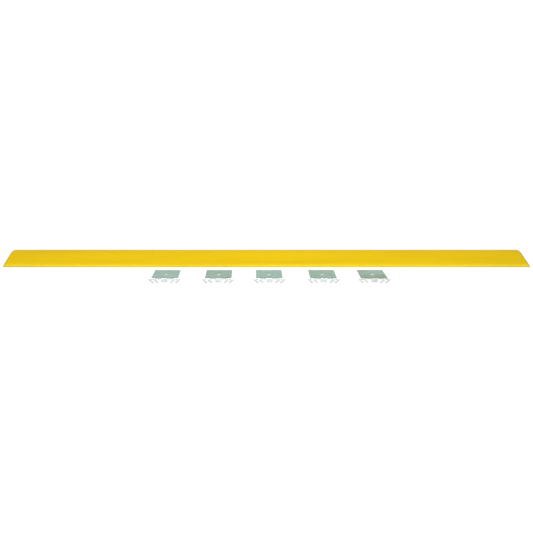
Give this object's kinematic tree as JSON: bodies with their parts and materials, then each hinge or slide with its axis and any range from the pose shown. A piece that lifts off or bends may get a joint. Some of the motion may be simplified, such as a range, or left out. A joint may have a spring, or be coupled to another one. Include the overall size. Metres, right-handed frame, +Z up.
{
  "type": "parking wheel stop",
  "caption": "Low, ramped, hollow yellow bar for traffic areas, with loose galvanised hold-down brackets laid out in front of it.",
  "frame": {"origin": "on the ground, below the middle of the whole layout", "axes": "+X along the bar, +Y from the brackets towards the bar, +Z up"},
  "size_m": [2.743, 0.5616, 0.0474],
  "materials": {
    "yellow_plastic": "satin traffic yellow",
    "galvanised_steel": "hot-dip galvanised"
  },
  "bodies": {
    "bar": {"bar": "yellow_plastic"},
    "bracket_1": {"bracket_1": "galvanised_steel"},
    "bracket_2": {"bracket_2": "galvanised_steel"},
    "bracket_3": {"bracket_3": "galvanised_steel"},
    "bracket_4": {"bracket_4": "galvanised_steel"},
    "bracket_5": {"bracket_5": "galvanised_steel"}
  },
  "joints": [
    {"name": "bracket_1_lift", "type": "slide", "parent": "bar", "child": "bracket_1", "axis": [0, 0, 1], "range_m": [0, 0.15]},
    {"name": "bracket_2_lift", "type": "slide", "parent": "bar", "child": "bracket_2", "axis": [0, 0, 1], "range_m": [0, 0.15]},
    {"name": "bracket_3_lift", "type": "slide", "parent": "bar", "child": "bracket_3", "axis": [0, 0, 1], "range_m": [0, 0.15]},
    {"name": "bracket_4_lift", "type": "slide", "parent": "bar", "child": "bracket_4", "axis": [0, 0, 1], "range_m": [0, 0.15]},
    {"name": "bracket_5_lift", "type": "slide", "parent": "bar", "child": "bracket_5", "axis": [0, 0, 1], "range_m": [0, 0.15]}
  ]
}
